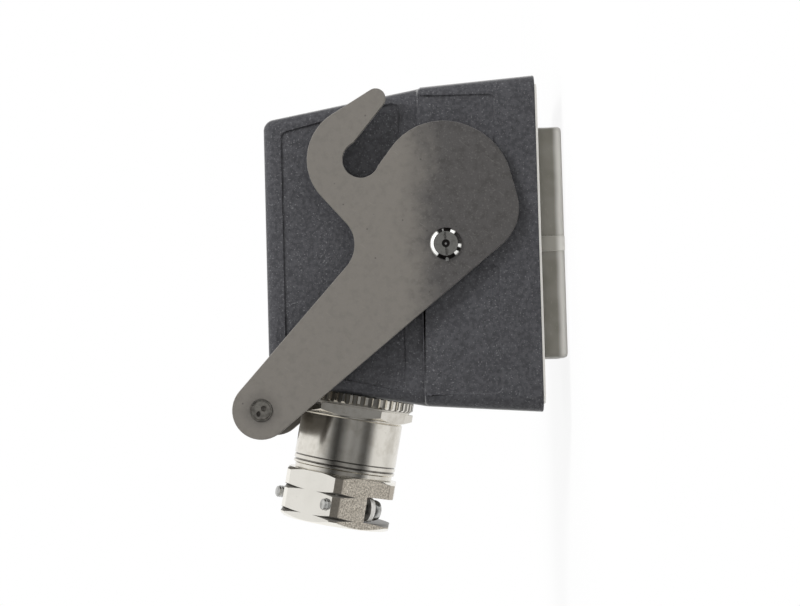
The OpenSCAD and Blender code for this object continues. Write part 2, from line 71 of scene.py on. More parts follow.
def tone(red, green, blue):
    # a screen colour, 0 to 255, as the linear colour that a shader takes
    return tuple((c / 255 / 12.92) if c < 11 else ((c / 255 + 0.055) / 1.055) ** 2.4
                 for c in (red, green, blue)) + (1.0,)


# camera

cameraView = {
    "lens": 79.73,
    "spot": (-0.03844, -0.50739, 0.03012),
    "turn": (-124.410, 88.0631, 142.9403),
}

camera = bpy.data.cameras.new("camera")
cameraObject = bpy.data.objects.new("camera", camera)
bpy.context.scene.collection.objects.link(cameraObject)
camera.lens = cameraView["lens"]
camera.sensor_width = 36
camera.clip_start, camera.clip_end = 0.02, 20
cameraObject.location = cameraView["spot"]
cameraObject.rotation_euler = [math.radians(angle) for angle in cameraView["turn"]]
bpy.context.scene.camera = cameraObject
bpy.context.scene.view_settings.view_transform = "Standard"


# shader maths: a Wire is one socket's value, and + - * / on it add Math nodes

class Wire:
    def __init__(self, bench, socket):
        self.bench, self.socket = bench, socket

    def maths(self, operation, first, second=0.0):
        return self.bench.node("Math", {"operation": operation}, {0: first, 1: second})

    def __add__(self, other):
        return self.maths("ADD", self, other)

    def __sub__(self, other):
        return self.maths("SUBTRACT", self, other)

    def __rsub__(self, other):
        return self.maths("SUBTRACT", other, self)

    def __mul__(self, other):
        return self.maths("MULTIPLY", self, other)

    def __truediv__(self, other):
        return self.maths("DIVIDE", self, other)

    __radd__, __rmul__ = __add__, __mul__

    def size(self):
        return self.maths("ABSOLUTE", self)

    def between(self, low, high):
        # 0 below low, 1 above high, a smooth step between them
        return self.bench.node("MapRange", {"interpolation_type": "SMOOTHSTEP"},
                               {"Value": self, "From Min": low, "From Max": high})


class Bench:
    def __init__(self, tree):
        self.tree = tree
        tree.nodes.clear()

    def node(self, kind, settings, sockets, out=0):
        made = self.tree.nodes.new("ShaderNode" + kind)
        stops = settings.get("stops", ())
        for key, value in settings.items():
            if key != "stops":
                setattr(made, key, value)
        for number, (spot, level) in enumerate(stops):
            held = made.color_ramp.elements
            stop = held[number] if number < len(held) else held.new(spot)
            stop.position, stop.color = spot, (level, level, level, 1)
        for key, value in sockets.items():
            self.feed(made.inputs[key], value)
        return Wire(self, made.outputs[out] if made.outputs else None)

    def feed(self, socket, value):
        if isinstance(value, Wire):
            self.tree.links.new(value.socket, socket)
        else:
            socket.default_value = value

    def noise(self, place, grain, detail=3.0, rough=0.6):
        # grain is the size of the pattern in metres
        return self.node("TexNoise", {}, {"Vector": place, "Scale": 1 / grain, "Detail": detail,
                                          "Roughness": rough})

    def cells(self, place, grain):
        return self.node("TexVoronoi", {}, {"Vector": place, "Scale": 1 / grain}, "Distance")

    def blend(self, share, first, second):
        return self.node("Mix", {"data_type": "RGBA"}, {0: share, 6: first, 7: second}, 2)

    def stretch(self, place, spot=(0, 0, 0), turn=(0, 0, 0), scale=(1, 1, 1)):
        # the pattern's place, seen from a spot, turned and stretched
        return self.node("Mapping", {"vector_type": "TEXTURE"},
                         {"Vector": place, "Location": spot, "Rotation": turn, "Scale": scale})

    def ramp(self, value, stops):
        return self.node("ValToRGB", {"stops": stops}, {"Fac": value})

    def part(self, place, letter):
        return self.node("SeparateXYZ", {}, {"Vector": place}, letter)

    def far(self, place, spot):
        return self.node("VectorMath", {"operation": "DISTANCE"}, {0: place, 1: spot}, "Value")

    def along(self, place, direction):
        return self.node("VectorMath", {"operation": "DOT_PRODUCT"}, {0: place, 1: direction}, "Value")


def newFinish(name, **constants):
    material = bpy.data.materials.new(name)
    material.use_nodes = True
    bench = Bench(material.node_tree)
    shader = bench.node("BsdfPrincipled", {}, {key.replace("_", " "): value
                                               for key, value in constants.items()}, "BSDF")
    bench.node("OutputMaterial", {}, {"Surface": shader})
    bench.shader = shader.socket.node
    bench.place = bench.node("TexCoord", {}, {}, "Object")
    bench.facing = bench.node("TexCoord", {}, {}, "Normal")
    # the facing weight, for a painted sheen where a surface turns away from the camera
    bench.rim = bench.node("LayerWeight", {}, {"Blend": 0.5}, "Facing")
    return material, bench


def finishWith(bench, colour=None, roughness=None, height=None, strength=0.3, depth=0.00005, **more):
    if colour is not None:
        bench.feed(bench.shader.inputs["Base Color"], colour)
    if roughness is not None:
        bench.feed(bench.shader.inputs["Roughness"], roughness)
    if height is not None:
        bump = bench.node("Bump", {}, {"Strength": strength, "Distance": depth, "Height": height})
        bench.feed(bench.shader.inputs["Normal"], bump)
    for key, value in more.items():
        bench.feed(bench.shader.inputs[key], value)


# powder coat: dark grey with light flecks and dark pits, and an orange peel; worn edges with a painted
# highlight, and a painted sheen where it turns away

hoodPaint = {
    "base": tone(54, 54, 57),
    "lit": tone(70, 70, 73),
    "fleck": tone(128, 128, 130),
    "pit": tone(42, 42, 45),
    # edge: worn paint and a painted highlight on the bevels
    "edge": tone(162, 162, 162),
    # rim: the colour of the painted sheen at grazing angles
    "rim": tone(186, 186, 185),
    "bare": tone(232, 230, 224),
    "lip": 0.7 * mm,
    "fleckSize": 0.42 * mm,
    "pitSize": 0.7 * mm,
    "peelSize": 1.0 * mm,
    "chipSize": 0.7 * mm,
    "cloudSize": 9 * mm,
    "sheenBeyond": (34 * mm, 37 * mm),  # from the middle, along X
    "sheenAbove": (78 * mm, 81 * mm),
}


def paintFinish(name, edgeWearAndHighlight):
    look = hoodPaint
    material, bench = newFinish(name, Specular_IOR_Level=0.35)
    place = bench.place
    fine = bench.noise(place, look["fleckSize"], 2.0, 0.5)
    coarse = bench.noise(place, look["pitSize"], 3.0, 0.6)
    peel = bench.noise(place, look["peelSize"], 2.0, 0.5)
    cloud = bench.noise(place, look["cloudSize"], 2.0, 0.5)
    flecks = fine.between(0.62, 0.70) * 0.5
    pits = (1 - coarse.between(0.30, 0.42)) * 0.6
    colour = bench.blend(peel.between(0.36, 0.64) * 0.75 + cloud * 0.2, look["base"], look["lit"])
    if edgeWearAndHighlight:
        chips = bench.noise(place, look["chipSize"], 3.0, 0.7)
        # the bevels are lighter, most where they face along the part's height: worn paint and a painted
        # edge highlight
        rubbedAndLit = bench.part(bench.facing, "Z").size().between(0.12, 0.4)
        share = (0.35 + 0.6 * chips.between(0.42, 0.56)) * (0.06 + 0.94 * rubbedAndLit)
        colour = bench.blend(share, colour, look["edge"])
    colour = bench.blend(flecks, colour, look["fleck"])
    colour = bench.blend(pits, colour, look["pit"])
    # a painted sheen where the hood turns away from the camera, stronger at its ends and its back
    ends = (bench.part(place, "X").size().between(*look["sheenBeyond"])
            + bench.part(place, "Z").between(*look["sheenAbove"]))
    colour = bench.blend(bench.rim.between(0.5, 1.0) * (0.15 + 0.55 * ends), colour, look["rim"])
    # the lip below the skirt is bare metal
    bare = 1 - bench.part(place, "Z").between(look["lip"] - 0.12 * mm, look["lip"] - 0.04 * mm)
    colour = bench.blend(bare, colour, look["bare"])
    finishWith(bench, colour, 0.46 + 0.16 * coarse, peel + 0.6 * fine, 0.9, 0.00022)
    return material


# blasted steel of the lever: even grey, with painted shade toward the lobe and round the grip, small pits
# and scratches, and painted highlights on its edges

leverSteel = {
    "base": tone(122, 118, 112),
    # lobe: painted shade, the plate darker toward the lobe
    "lobe": tone(84, 82, 81),
    # the dark tone of the real pits and of the painted shade
    "stainAndShade": tone(66, 64, 62),
    "scratch": tone(150, 147, 142),
    # edge: the colour of the painted edge highlight and sheen
    "edge": tone(198, 195, 189),
    "rivetDishShadeRadius": 8 * mm,
    "lobeShadeHeights": (32 * mm, 46 * mm),
    "cloudSize": 7 * mm,
    "mottleSize": 2.2 * mm,
    "grainSize": 0.22 * mm,
    "speckleSize": 0.5 * mm,
    "pitSpacing": 4.3 * mm,
    "scratchSize": 0.6 * mm,
    "scratchTurn": -52,
}


def leverFinish(name, edgeWearAndHighlight):
    look = leverSteel
    material, bench = newFinish(name, Metallic=0.35, Specular_IOR_Level=0.4)
    place = bench.place
    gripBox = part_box("lever_grip")
    gripSpot = (gripBox[0] + gripBox[1]) / 2
    alongX, alongZ = bench.part(place, "X"), bench.part(place, "Z")
    flat = bench.node("CombineXYZ", {}, {"X": alongX, "Z": alongZ})
    fromGrip = bench.far(flat, (gripSpot.x, 0, gripSpot.z))
    cloud = bench.noise(place, look["cloudSize"], 3.0, 0.55)
    mottle = bench.noise(place, look["mottleSize"], 4.0, 0.65)
    grain = bench.noise(place, look["grainSize"], 2.0, 0.5)
    # painted shade: darker and more mottled toward the lobe
    lobeShadeShare = 1 - (alongZ + 0.012 * cloud).between(*look["lobeShadeHeights"])
    colour = bench.blend(lobeShadeShare, look["base"], look["lobe"])
    colour = bench.blend((lobeShadeShare * 0.4 + 0.12) * mottle.between(0.45, 0.68), colour, look["stainAndShade"])
    # painted shade round the grip's rivet, where the plate is slightly dished
    rivetDishShade = 1 - (fromGrip + 0.0025 * cloud).between(0.45 * look["rivetDishShadeRadius"], look["rivetDishShadeRadius"])
    colour = bench.blend(rivetDishShade * 0.34, colour, look["stainAndShade"])
    spots = bench.cells(place, look["pitSpacing"])
    pits = 1 - spots.between(0.035, 0.075)
    colour = bench.blend(pits * 0.6, colour, look["stainAndShade"])
    stroke = bench.stretch(place, turn=(0, math.radians(look["scratchTurn"]), 0), scale=(9, 1, 1))
    lines = bench.noise(stroke, look["scratchSize"], 2.0, 0.5)
    strokes = lines.between(0.70, 0.78)
    colour = bench.blend(strokes * 0.16, colour, look["scratch"])
    speckle = bench.noise(place, look["speckleSize"], 2.0, 0.6)
    colour = bench.blend(speckle.between(0.56, 0.70) * (0.08 + 0.08 * lobeShadeShare), colour, look["scratch"])
    # painted highlight on the bevel strips, which are also smoother
    if edgeWearAndHighlight:
        colour = bench.blend(0.75, colour, look["edge"])
    rough = 0.46 + 0.1 * mottle - 0.12 * strokes - (0.16 if edgeWearAndHighlight else 0.0)
    # painted sheen where the plate turns away from the camera
    colour = bench.blend(bench.rim.between(0.7, 1.0) * 0.5, colour, look["edge"])
    finishWith(bench, colour, rough, grain - 1.5 * pits, 0.3, 0.00005)
    return material


# nickel plate over brass: bright, with faint drag lines round the gland's axis

nickelPlate = {
    "base": tone(235, 231, 222),
    "tarnish": tone(196, 189, 176),
    "spot": tone(120, 113, 104),
    "cast": tone(240, 232, 218),
    "castDark": tone(152, 143, 130),
    "clean": tone(252, 249, 241),
    "corner": tone(205, 197, 184),
    "cornerRadius": 16.95 * mm,
    "groove": tone(66, 61, 55),
    "grooves": [28.1 * mm, 34.7 * mm],  # along the gland's axis
    "grooveReach": (0.75 * mm, 0.95 * mm),
    "barrelGrooves": [18.2 * mm, 20.8 * mm],
    "barrelRadii": (14.2 * mm, 14.42 * mm),  # in the grooves, outside them
    "lineSize": 0.35 * mm,
    "cloudSize": 5 * mm,
    "speckSize": 0.5 * mm,
    "gritSize": 0.4 * mm,
    "sandSize": 0.3 * mm,
}


def aboutGland(bench):
    # how far along the gland's axis, and how far from it
    lean = glandAxis.to_track_quat("Z", "Y").to_euler()
    turned = bench.stretch(bench.place, tuple(glandSpot), tuple(lean))
    flat = bench.node("CombineXYZ", {}, {"X": bench.part(turned, "X"), "Y": bench.part(turned, "Y")})
    reach = bench.node("VectorMath", {"operation": "LENGTH"}, {0: flat}, "Value")
    return bench.part(turned, "Z"), reach


def nickelFinish(name, cast):
    look = nickelPlate
    material, bench = newFinish(name, Metallic=1.0)
    place = bench.place
    lengthwise, reach = aboutGland(bench)
    lines = bench.noise(bench.node("CombineXYZ", {}, {"Z": lengthwise}), look["lineSize"], 3.0, 0.7)
    cloud = bench.noise(place, look["cloudSize"], 3.0, 0.6)
    specks = bench.noise(place, look["speckSize"], 2.0, 0.6)
    base = look["clean"] if cast else look["base"]
    colour = bench.blend(cloud.between(0.4, 0.7) * (0.06 if cast else 0.5), base, look["tarnish"])
    colour = bench.blend(specks.between(0.70, 0.78) * 0.5, colour, look["spot"])
    rough = 0.13 + 0.1 * cloud
    height = lines * 0.25
    if cast:
        # as cast on two opposite flats, machined on the others
        sideways = bench.along(bench.facing, tuple(acrossAxis)).size()
        corner = (reach.between(look["cornerRadius"] - 0.1 * mm, look["cornerRadius"])
                  * sideways.between(0.6, 0.7))
        rawShare = sideways.between(0.90, 0.95) * (1 - corner) + corner
        grit = bench.noise(place, look["gritSize"], 4.0, 0.75)
        sand = bench.noise(place, look["sandSize"], 2.0, 0.6)
        raw = bench.blend(grit.between(0.34, 0.66), look["castDark"], look["cast"])
        raw = bench.blend(sand.between(0.66, 0.74) * 0.8, raw, look["clean"])
        raw = bench.blend(corner * 0.75, raw, look["corner"])
        colour = bench.blend(rawShare, colour, raw)
        first, second = [1 - (lengthwise - spot).size().between(*look["grooveReach"])
                         for spot in look["grooves"]]
        # darker on the walls of the two grooves
        wall = bench.along(bench.facing, tuple(glandAxis)).size().between(0.55, 0.65)
        grooveWallShare = (first + second) * wall
        colour = bench.blend(grooveWallShare * 0.8, colour, look["groove"])
        rough = rough + rawShare * 0.27 + grooveWallShare * 0.2
        finishWith(bench, Metallic=1 - 0.34 * rawShare * (1 - corner) - 0.5 * grooveWallShare)
        height = height * (1 - rawShare) + rawShare * (1.6 * grit + sand)
    else:
        # darker in the turned grooves at the barrel's end
        low, high = look["barrelGrooves"]
        darkening = (1 - reach.between(*look["barrelRadii"])) * lengthwise.between(low, low + 0.05 * mm)
        colour = bench.blend(darkening * (1 - lengthwise.between(high, high + 0.2 * mm)) * 0.8, colour,
                             look["groove"])
    finishWith(bench, colour, rough, height, 0.5 if cast else 0.25, 0.00008 if cast else 0.00002)
    return material


# the knurled ring: the same plate, with painted shade in the gaps between its teeth

knurlLook = {
    "darkening": tone(52, 48, 44),
    "toothRadii": (16.0 * mm, 16.45 * mm),  # painted shade below the first, none above the second
    "collarFrom": (2.75 * mm, 2.9 * mm),  # along the gland's axis
    "cloudSize": 3 * mm,
}


def knurlFinish(name):
    look = knurlLook
    material, bench = newFinish(name, Metallic=1.0)
    lengthwise, reach = aboutGland(bench)
    cloud = bench.noise(bench.place, look["cloudSize"], 3.0, 0.6)
    colour = bench.blend(cloud.between(0.4, 0.7) * 0.4, nickelPlate["base"], nickelPlate["tarnish"])
    # painted shade in the gaps, below the tips of the teeth
    darkening = 1 - (reach + 0.0002 * cloud).between(*look["toothRadii"])
    collar = lengthwise.between(*look["collarFrom"])
    colour = bench.blend(darkening * (1 - collar) * 0.85, colour, look["darkening"])
    finishWith(bench, colour, 0.14 + 0.3 * darkening, cloud, 0.15, 0.00002)
    return material


# the pin's head: a turned face, painted shade in the slot and the centre hole with a bright dot at its
# middle, and a painted reflection round the bevel in bright and dark patches

pinLook = {
    "face": tone(196, 195, 190),
    "faceDark": tone(140, 138, 134),
    # the dark tone of the painted shade and of the dark painted reflection
    "darkening": tone(50, 48, 46),
    "bright": tone(236, 236, 233),
    # painted reflection, bright and dark round the bevel, in degrees from +X toward -Z
    "paintedReflections": [(0, 0.0), (20, 0.0), (23, 1.0), (39, 1.0), (43, 0.05), (91, 0.05), (95, 1.0),
                (105, 1.0), (109, 0.0), (122, 0.0), (126, 1.0), (139, 1.0), (143, 0.0), (214, 0.0),
                (219, 0.85), (270, 1.0), (321, 0.9), (328, 0.05), (344, 0.05), (349, 0.45),
                (354, 0.0)],
    "faceAt": 24.85 * mm,  # along Y
    "dotRadii": (0.22 * mm, 0.38 * mm),
    "holeRadii": (1.0 * mm, 1.2 * mm),
    "slotRadii": (3.1 * mm, 3.2 * mm),
    "slotDepths": (0.1 * mm, 0.4 * mm),
    "bevelRadii": (3.3 * mm, 3.42 * mm),
    "bevelDepths": (0.6 * mm, 0.7 * mm),
    "outerRadii": (4.0 * mm, 4.2 * mm),
    "ringSize": 0.3 * mm,
    "cloudSize": 1.2 * mm,
}


def pinFinish(name):
    look = pinLook
    material, bench = newFinish(name)
    place = bench.place
    alongX = bench.part(place, "X")
    alongZ = bench.part(place, "Z") - leverPivot.z
    reach = bench.node("VectorMath", {"operation": "LENGTH"}, {0: bench.node(
        "CombineXYZ", {}, {"X": alongX, "Z": alongZ})}, "Value")
    depth = look["faceAt"] - bench.part(place, "Y").size()
    rings = bench.noise(bench.node("CombineXYZ", {}, {"X": reach}), look["ringSize"], 2.0, 0.6)
    cloud = bench.noise(place, look["cloudSize"], 3.0, 0.6)
    colour = bench.blend(cloud.between(0.45, 0.75) * 0.5, look["face"], look["faceDark"])
    colour = bench.blend(rings.between(0.55, 0.68) * 0.35, colour, look["faceDark"])
    # painted shade in the slot and the centre hole
    sunk = depth.between(*look["slotDepths"]) * (1 - reach.between(*look["slotRadii"]))
    colour = bench.blend(sunk * 0.45, colour, look["darkening"])
    hole = 1 - reach.between(*look["holeRadii"])
    colour = bench.blend(hole * 0.95, colour, look["darkening"])
    dot = 1 - reach.between(*look["dotRadii"])
    colour = bench.blend(dot * 0.8, colour, look["bright"])
    turn = alongX.maths("ARCTAN2", 0 - alongZ, alongX)
    around = bench.node("Math", {"operation": "FRACT"}, {0: 1 + turn / (2 * math.pi)})
    paintedReflections = bench.ramp(around, [(degrees / 360, level) for degrees, level in look["paintedReflections"]])
    # a painted reflection round the bevel: bright patches, with painted shade between them
    bevel = reach.between(*look["bevelRadii"]) * (1 - depth.between(*look["bevelDepths"]))
    lit = bevel * paintedReflections * (1 - reach.between(*look["outerRadii"]))
    colour = bench.blend(bevel * (1 - paintedReflections), colour, look["darkening"])
    colour = bench.blend(lit, colour, look["bright"])
    finishWith(bench, colour, 0.18 + 0.1 * rings, rings, 0.2, 0.00003, Metallic=1 - lit)
    return material


# small metal parts: clouded, with a fine grain

platedMetals = {
    # name: base, dark, roughness
    "zincSteel": (tone(206, 206, 203), tone(104, 102, 99), 0.14),
    "silverPlate": (tone(226, 222, 208), tone(178, 170, 146), 0.2),
    "plainBrass": (tone(206, 172, 104), tone(158, 124, 66), 0.28),
}


def platedFinish(name):
    base, dark, rough = platedMetals[name]
    material, bench = newFinish(name, Metallic=1.0)
    cloud = bench.noise(bench.place, 2.5 * mm, 3.0, 0.6)
    fine = bench.noise(bench.place, 0.6 * mm, 2.0, 0.6)
    colour = bench.blend(cloud.between(0.4, 0.7) * 0.6, base, dark)
    colour = bench.blend(fine.between(0.62, 0.72) * 0.3, colour, dark)
    finishWith(bench, colour, rough + 0.15 * fine, fine, 0.2, 0.00003)
    return material


# the rivet: turned and staked steel, darker in its dents and round its edge

rivetLook = {
    "base": tone(180, 176, 168),
    "dark": tone(112, 109, 104),
    "darkening": tone(58, 55, 51),
    "darkeningDepths": (0.05 * mm, 0.35 * mm),
    "cloudSize": 1.6 * mm,
    "grainSize": 0.5 * mm,
}


def rivetFinish(name):
    look = rivetLook
    material, bench = newFinish(name, Metallic=0.9)
    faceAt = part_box("grip_rivet")[1].y
    cloud = bench.noise(bench.place, look["cloudSize"], 3.0, 0.6)
    fine = bench.noise(bench.place, look["grainSize"], 2.0, 0.6)
    colour = bench.blend(cloud.between(0.35, 0.7) * 0.8, look["base"], look["dark"])
    sunk = (faceAt - bench.part(bench.place, "Y").size()).between(*look["darkeningDepths"])
    colour = bench.blend(sunk * 0.6, colour, look["darkening"])
    finishWith(bench, colour, 0.24 + 0.2 * fine, fine, 0.3, 0.00003)
    return material


# the clamp washers: bright at the rim, darker on the face toward the screw's tip

washerLook = {
    "base": tone(224, 222, 217),
    "dark": tone(186, 183, 178),
    "darkening": tone(50, 46, 42),
    "cloudSize": 1.5 * mm,
    "grainSize": 0.4 * mm,
}


def washerFinish(name):
    look = washerLook
    material, bench = newFinish(name, Metallic=0.25)
    cloud = bench.noise(bench.place, look["cloudSize"], 3.0, 0.6)
    fine = bench.noise(bench.place, look["grainSize"], 2.0, 0.6)
    colour = bench.blend(cloud.between(0.4, 0.7) * 0.6, look["base"], look["dark"])
    inner = bench.along(bench.facing, tuple(screwAxis)).between(0.55, 0.8)
    colour = bench.blend(inner * 0.9, colour, look["darkening"])
    finishWith(bench, colour, 0.3 + 0.15 * fine, fine, 0.2, 0.00003)
    return material


# glass filled plastic of the insert, with painted light toward its rim and a painted sheen where it turns
# away

insertPlastic = {
    "base": (141, 138, 129),
    "dark": (129, 126, 116),
    "fibre": tone(168, 166, 155),
    # dust: the colour of the painted light toward the rim
    "dust": tone(248, 246, 240),
    # edge: the colour of the painted sheen where the plastic turns away
    "edge": tone(242, 240, 234),
    "glowHeights": (1.1 * mm, 3.0 * mm),  # from the rim
    "cloudSize": 8 * mm,
    "fibreSize": 0.5 * mm,
}


def mouldedFinish(name, paintedLift):
    # a lift makes a lighter copy: painted light on a face that catches more light
    look = insertPlastic
    base, dark = (tone(*(level + paintedLift for level in look[key])) for key in ("base", "dark"))
    material, bench = newFinish(name, Specular_IOR_Level=0.4)
    place = bench.place
    cloud = bench.noise(place, look["cloudSize"], 2.0, 0.5)
    fibre = bench.noise(bench.stretch(place, scale=(3, 1, 1)), look["fibreSize"], 3.0, 0.6)
    colour = bench.blend(cloud.between(0.35, 0.65), base, dark)
    colour = bench.blend(fibre.between(0.60, 0.72) * 0.3, colour, look["fibre"])
    low, high = (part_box("insert_body")[0].z + height for height in look["glowHeights"])
    # painted light, lighter toward the rim
    rimGlow = 1 - (bench.part(place, "Z") + 0.0004 * cloud).between(low, high)
    colour = bench.blend(rimGlow * 0.85, colour, look["dust"])
    # painted sheen where the plastic turns away from the camera
    colour = bench.blend(bench.rim.between(0.2, 0.8) * 0.85, colour, look["edge"])
    finishWith(bench, colour, 0.46 + 0.12 * fibre, fibre, 0.15, 0.00003)
    return material


# black rubber of the seals, a little dusty

sealRubber = {"base": tone(28, 28, 29), "dust": tone(58, 57, 56), "dustSize": 0.8 * mm}


def rubberFinish(name):
    look = sealRubber
    material, bench = newFinish(name, Specular_IOR_Level=0.35)
    dust = bench.noise(bench.place, look["dustSize"], 3.0, 0.7)
    colour = bench.blend(dust.between(0.5, 0.75) * 0.5, look["base"], look["dust"])
    finishWith(bench, colour, 0.62 + 0.15 * dust, dust, 0.25, 0.00004)
    return material


finishes = {
    "knurl": knurlFinish("knurledPlate"),
    "pin": pinFinish("pivotPin"),
    "paint": paintFinish("powderCoat", False),
    "paintEdgeWearAndHighlight": paintFinish("powderCoatEdge", True),
    "lever": leverFinish("blastedSteel", False),
    "leverEdgeHighlight": leverFinish("blastedSteelEdge", True),
    "nickel": nickelFinish("nickelPlate", False),
    "nickelCast": nickelFinish("nickelPlateCast", True),
    "rivet": rivetFinish("rivetSteel"),
    "zinc": platedFinish("zincSteel"),
    "washer": washerFinish("washerSteel"),
    "silver": platedFinish("silverPlate"),
    "brass": platedFinish("plainBrass"),
    "insert": mouldedFinish("insertPlastic", 0),
    # the ribs get a lighter copy of the plastic: painted light
    "rib": mouldedFinish("insertPlasticRib", 16),
    "rubber": rubberFinish("sealRubber"),
}
print("finishes made:", len(finishes))


def pickNone():
    if bpy.context.object and bpy.context.object.mode != "OBJECT":
        bpy.ops.object.mode_set(mode="OBJECT")
    bpy.ops.object.select_all(action="DESELECT")


def pickOnly(piece):
    pickNone()
    piece.select_set(True)
    bpy.context.view_layer.objects.active = piece


def useModifier(piece, kind, **settings):
    modifier = piece.modifiers.new(kind, kind)
    for key, value in settings.items():
        setattr(modifier, key, value)
    pickOnly(piece)
    bpy.ops.object.modifier_apply(modifier=modifier.name)


def copyPiece(piece, name, move):
    # a second one, with a mesh of its own, at another place
    again = piece.copy()
    again.data = piece.data.copy()
    again.name = name
    bpy.context.scene.collection.objects.link(again)
    again.location = move
    pickOnly(again)
    bpy.ops.object.transform_apply(location=True, rotation=True, scale=True)
    return again


def joinPiece(piece, body, materials, replaces=()):
    piece.data.materials.clear()
    for key in materials:
        piece.data.materials.append(finishes[key])
    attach(piece, body)
    for node in replaces:
        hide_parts(node)


# machined and cast edges are never knife sharp: a copy of each solid gets them rounded

roundedPieces = {
    # node: body, record slot, finish, edge finish, edge width, segments, smallest angle rounded
    "hood": ("housing", "hood_paint", "paint", "paintEdgeWearAndHighlight", 0.36 * mm, 3, 30),
    "insert_body": ("housing", "insert_plastic", "insert", "insert", 0.2 * mm, 2, 30),
    "lever_plate_front": ("lever", "stainless", "lever", "leverEdgeHighlight", 0.28 * mm, 2, 40),
    "lever_plate_back": ("lever", "stainless", "lever", "leverEdgeHighlight", 0.28 * mm, 2, 40),
    "pivot_pins": ("housing", "pin_steel", "pin", "pin", 0.06 * mm, 2, 20),
    "grip_rivet": ("lever", "rivet_steel", "rivet", "rivet", 0.08 * mm, 2, 30),
    "gland_body": ("housing", "nickel", "nickel", "nickel", 0.1 * mm, 2, 25),
    "clamp_nut": ("nut", "nickel", "nickelCast", "nickelCast", 0.14 * mm, 2, 25),
    "clamp_screws": ("nut", "zinc_steel", "zinc", "zinc", 0.08 * mm, 2, 30),
    "clamp_washers": ("nut", "zinc_steel", "washer", "washer", 0.15 * mm, 2, 30),
}


def keepSelected(piece, wanted, sharpOnly=False):
    # selects the edges of a piece whose two ends pass the test
    pickOnly(piece)
    bpy.ops.object.mode_set(mode="EDIT")
    bpy.ops.mesh.select_mode(type="EDGE")
    bpy.ops.mesh.select_all(action="DESELECT")
    if sharpOnly:
        bpy.ops.mesh.edges_select_sharp(sharpness=math.radians(30))
    else:
        bpy.ops.mesh.select_all(action="SELECT")
    bpy.ops.object.mode_set(mode="OBJECT")
    corners = piece.data.vertices
    for part in list(corners) + list(piece.data.polygons):
        part.select = False
    for edge in piece.data.edges:
        first, second = (corners[number] for number in edge.vertices)
        edge.select = edge.select and wanted(first.co, second.co)
        if edge.select:
            first.select = second.select = True
    bpy.ops.object.mode_set(mode="EDIT")


# the near clamp screw is a little shorter and driven in less far than the other

nearScrew = {"back": 1.0 * mm, "shorter": 1.1 * mm}

screwSpots = [vertex.co - glandSpot for vertex in frame["nodes"]["clamp_screws"].data.vertices]
tipReach = max(spot.dot(screwAxis) for spot in screwSpots)


def backOffNearScrew(piece):
    def near(first, second):
        return max((end - glandSpot).dot(acrossAxis) for end in (first, second)) < 0

    def nearTip(first, second):
        reach = min((end - glandSpot).dot(screwAxis) for end in (first, second))
        return near(first, second) and reach > tipReach - 2 * mm

    if piece.name.endswith("screws"):
        keepSelected(piece, nearTip)
        bpy.ops.transform.translate(value=screwAxis * -nearScrew["shorter"])
        bpy.ops.object.mode_set(mode="OBJECT")
    keepSelected(piece, near)
    bpy.ops.transform.translate(value=screwAxis * -nearScrew["back"])
    bpy.ops.object.mode_set(mode="OBJECT")


# the rivet is staked at both ends: two dents in each face

rivetDents = {
    "radius": 0.85 * mm,
    "sink": 0.6 * mm,
    "spots": [(-0.95 * mm, 0.75 * mm, 0.7), (0.45 * mm, -0.7 * mm, 1.0)],  # x, z, roundness
}


def stakeRivet(piece):
    look = rivetDents
    low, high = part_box("grip_rivet")
    middle = (low + high) / 2
    for side, face in ((-1, low.y), (1, high.y)):
        for alongX, alongZ, roundness in look["spots"]:
            pickNone()
            bpy.ops.mesh.primitive_uv_sphere_add(
                segments=20, ring_count=10, radius=look["radius"],
                location=(middle.x + alongX, face + side * (look["radius"] - look["sink"]),
                          middle.z + alongZ), scale=(1, 1, roundness))
            dent = bpy.context.object
            useModifier(piece, "BOOLEAN", object=dent, operation="DIFFERENCE", solver="EXACT")
            bpy.data.objects.remove(dent)


# the shroud of the insert has a well rounded outer rim

shroudRim = {
    "halfX": 30.25 * mm,
    "halfY": 13.25 * mm,
    "top": 9.05 * mm,
    "round": 1.0 * mm,
    "longer": 0.9 * mm,  # at the +X end
}


def roundShroud(piece):
    look = shroudRim
    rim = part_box("insert_body")[0].z

    def endWall(first, second):
        return min(first.x, second.x) > look["halfX"] and max(first.z, second.z) < look["top"]

    def outerRim(first, second):
        low = max(abs(first.z - rim), abs(second.z - rim)) < 0.02 * mm
        return low and min(max(abs(end.x) / look["halfX"], abs(end.y) / look["halfY"])
                           for end in (first, second)) > 1

    pickOnly(piece)
    bpy.ops.object.mode_set(mode="EDIT")
    bpy.ops.mesh.select_all(action="SELECT")
    bpy.ops.mesh.quads_convert_to_tris(quad_method="BEAUTY", ngon_method="BEAUTY")
    keepSelected(piece, endWall)
    bpy.ops.transform.translate(value=(look["longer"], 0, 0))
    keepSelected(piece, outerRim, sharpOnly=True)
    bpy.ops.mesh.bevel(offset=look["round"], segments=4, affect="EDGES")
    bpy.ops.object.mode_set(mode="OBJECT")


shaping = {"grip_rivet": stakeRivet, "insert_body": roundShroud,
           "clamp_screws": backOffNearScrew, "clamp_washers": backOffNearScrew}


# bevels of these would run into each other on their short edges
clampedPieces = ("insert_body", "clamp_nut", "clamp_screws", "clamp_washers")


